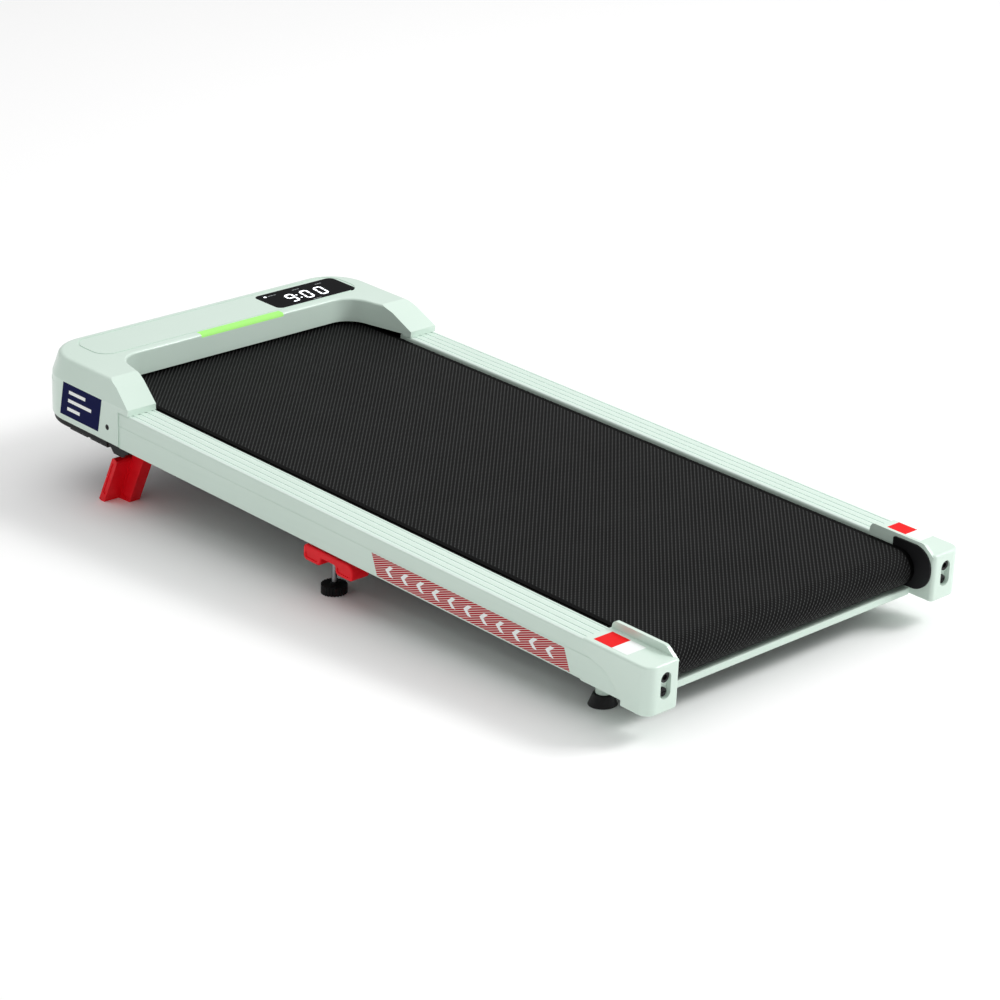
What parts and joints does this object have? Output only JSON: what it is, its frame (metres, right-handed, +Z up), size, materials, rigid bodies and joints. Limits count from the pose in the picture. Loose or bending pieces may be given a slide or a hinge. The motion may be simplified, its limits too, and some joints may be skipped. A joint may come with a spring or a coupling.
{
  "type": "walking pad",
  "caption": "Slim under-desk walking pad: ridged rails carry a belt deck between rollers, with a motor hood in front, fold-out legs and levelling feet.",
  "frame": {"origin": "on the floor, under the centre of the bounding box", "axes": "+X towards the belt's rear end, +Y towards the pad's right side as seen by a walker facing the hood, +Z up"},
  "size_m": [1.0959, 0.5, 0.1793],
  "materials": {
    "mint_shell": "glossy moulded plastic",
    "mint_paint": "satin powder coat",
    "black_plastic": "fine moulded grain",
    "black_paint": "satin black paint",
    "red_plastic": "semi-gloss moulded plastic",
    "foot_rubber": "smooth black rubber",
    "belt_rubber": "black belt with a raised diamond weave",
    "steel": "bright turned steel",
    "dark_steel": "blackened steel",
    "bearing_steel": "ground bearing steel",
    "wood_deck": "pressed board, sealed",
    "circuit_board": "green lacquered board",
    "display_black": "dark tinted window",
    "light_lens": "frosted light strip lens",
    "motor_enamel": "black enamel"
  },
  "bodies": {
    "chassis": {"left_side_rail": "mint_paint", "right_side_rail": "mint_paint", "deck_board": "wood_deck", "deck_cushions": "foot_rubber", "cross_members": "black_paint", "under_crossbars": "black_paint", "rear_crossbar": "mint_paint", "walking_belt": "belt_rubber", "front_axle": "steel", "rear_axle": "steel", "roller_bearings": "bearing_steel", "drive_belt": "foot_rubber", "motor_housing": "motor_enamel", "motor_bracket": "black_paint", "front_frame": "black_paint", "controller_case": "black_plastic", "controller_board": "circuit_board", "hood_cover": "mint_shell", "hood_base": "mint_shell", "bottom_tray": "black_plastic", "display_window": "display_black", "display_boards": "circuit_board", "light_bar_lens": "light_lens", "mains_inlet": "black_plastic", "switch_bezel": "black_plastic", "breaker_body": "black_plastic", "hood_side_screws": "dark_steel", "left_rear_cap": "mint_shell", "right_rear_cap": "mint_shell", "tension_blocks": "black_plastic", "rear_cap_screws": "dark_steel", "cap_guards": "black_plastic", "rear_foot_pads": "foot_rubber", "rear_foot_spacers": "mint_paint", "front_leg_brackets": "black_paint", "mid_leg_brackets": "black_paint", "leg_hinge_pins": "steel", "transport_axles": "steel", "vibration_motor": "motor_enamel"},
    "front_roller": {"front_roller": "steel", "roller_pulley": "black_plastic"},
    "rear_roller": {"rear_roller": "steel"},
    "motor_rotor": {"motor_shaft": "steel", "motor_pulley": "black_plastic"},
    "vibration_rotor": {"vibration_weights": "steel"},
    "left_front_leg": {"left_front_leg": "red_plastic"},
    "right_front_leg": {"right_front_leg": "red_plastic"},
    "left_mid_leg": {"left_mid_leg": "red_plastic"},
    "right_mid_leg": {"right_mid_leg": "red_plastic"},
    "left_levelling_foot": {"left_levelling_screw": "steel", "left_levelling_knob": "black_plastic"},
    "right_levelling_foot": {"right_levelling_screw": "steel", "right_levelling_knob": "black_plastic"},
    "left_wheel": {"left_transport_wheel": "foot_rubber"},
    "right_wheel": {"right_transport_wheel": "foot_rubber"},
    "switch_rocker": {"switch_rocker": "black_plastic"},
    "breaker_button": {"breaker_button": "black_plastic"},
    "left_tension_bolt": {"left_tension_bolt": "dark_steel"},
    "right_tension_bolt": {"right_tension_bolt": "dark_steel"}
  },
  "joints": [
    {"name": "front_roller_spin", "type": "hinge", "parent": "chassis", "child": "front_roller", "pos_m": [-0.45831, 0, 0.1176], "axis": [0, 1, 0], "continuous": true},
    {"name": "rear_roller_spin", "type": "hinge", "parent": "chassis", "child": "rear_roller", "pos_m": [0.49938, 0, 0.06741], "axis": [0, 1, 0], "continuous": true},
    {"name": "motor_spin", "type": "hinge", "parent": "chassis", "child": "motor_rotor", "pos_m": [-0.50644, 0, 0.13544], "axis": [0, 1, 0], "continuous": true},
    {"name": "vibration_spin", "type": "hinge", "parent": "chassis", "child": "vibration_rotor", "pos_m": [0.04365, 0, 0.08458], "axis": [0, 1, 0], "continuous": true},
    {"name": "left_front_leg_fold", "type": "hinge", "parent": "chassis", "child": "left_front_leg", "pos_m": [-0.36801, -0.197, 0.07311], "axis": [0, 1, 0], "range_deg": [-114.5, 0]},
    {"name": "right_front_leg_fold", "type": "hinge", "parent": "chassis", "child": "right_front_leg", "pos_m": [-0.36801, 0.197, 0.07311], "axis": [0, 1, 0], "range_deg": [-114.5, 0]},
    {"name": "left_mid_leg_fold", "type": "hinge", "parent": "chassis", "child": "left_mid_leg", "pos_m": [0.0635, -0.25, 0.0525], "axis": [0, 1, 0], "range_deg": [-90, 0]},
    {"name": "right_mid_leg_fold", "type": "hinge", "parent": "chassis", "child": "right_mid_leg", "pos_m": [0.0635, 0.25, 0.0525], "axis": [0, 1, 0], "range_deg": [-90, 0]},
    {"name": "left_foot_level", "type": "slide", "parent": "chassis", "child": "left_levelling_foot", "axis": [0.0523, 0, 0.9986], "range_m": [-0.008, 0.008]},
    {"name": "right_foot_level", "type": "slide", "parent": "chassis", "child": "right_levelling_foot", "axis": [0.0523, 0, 0.9986], "range_m": [-0.008, 0.008]},
    {"name": "left_wheel_spin", "type": "hinge", "parent": "chassis", "child": "left_wheel", "pos_m": [-0.50328, -0.216, 0.10023], "axis": [0, 1, 0], "continuous": true},
    {"name": "right_wheel_spin", "type": "hinge", "parent": "chassis", "child": "right_wheel", "pos_m": [-0.50328, 0.216, 0.10023], "axis": [0, 1, 0], "continuous": true},
    {"name": "switch_tip", "type": "hinge", "parent": "chassis", "child": "switch_rocker", "pos_m": [-0.54073, 0.002, 0.12122], "axis": [0.0523, 0, 0.9986], "range_deg": [-8, 8]},
    {"name": "breaker_press", "type": "slide", "parent": "chassis", "child": "breaker_button", "axis": [0.9986, 0, -0.0523], "range_m": [0, 0.002], "stiffness_N_per_m": 300},
    {"name": "left_bolt_turn", "type": "hinge", "parent": "chassis", "child": "left_tension_bolt", "pos_m": [0.54081, -0.2242, 0.07455], "axis": [0.9986, 0, -0.0523], "continuous": true},
    {"name": "right_bolt_turn", "type": "hinge", "parent": "chassis", "child": "right_tension_bolt", "pos_m": [0.54081, 0.2242, 0.07455], "axis": [0.9986, 0, -0.0523], "continuous": true}
  ],
  "couplings": [
    {"joint": "rear_roller_spin", "follows": "front_roller_spin", "ratio": 1},
    {"joint": "motor_spin", "follows": "front_roller_spin", "ratio": 2.3333}
  ]
}
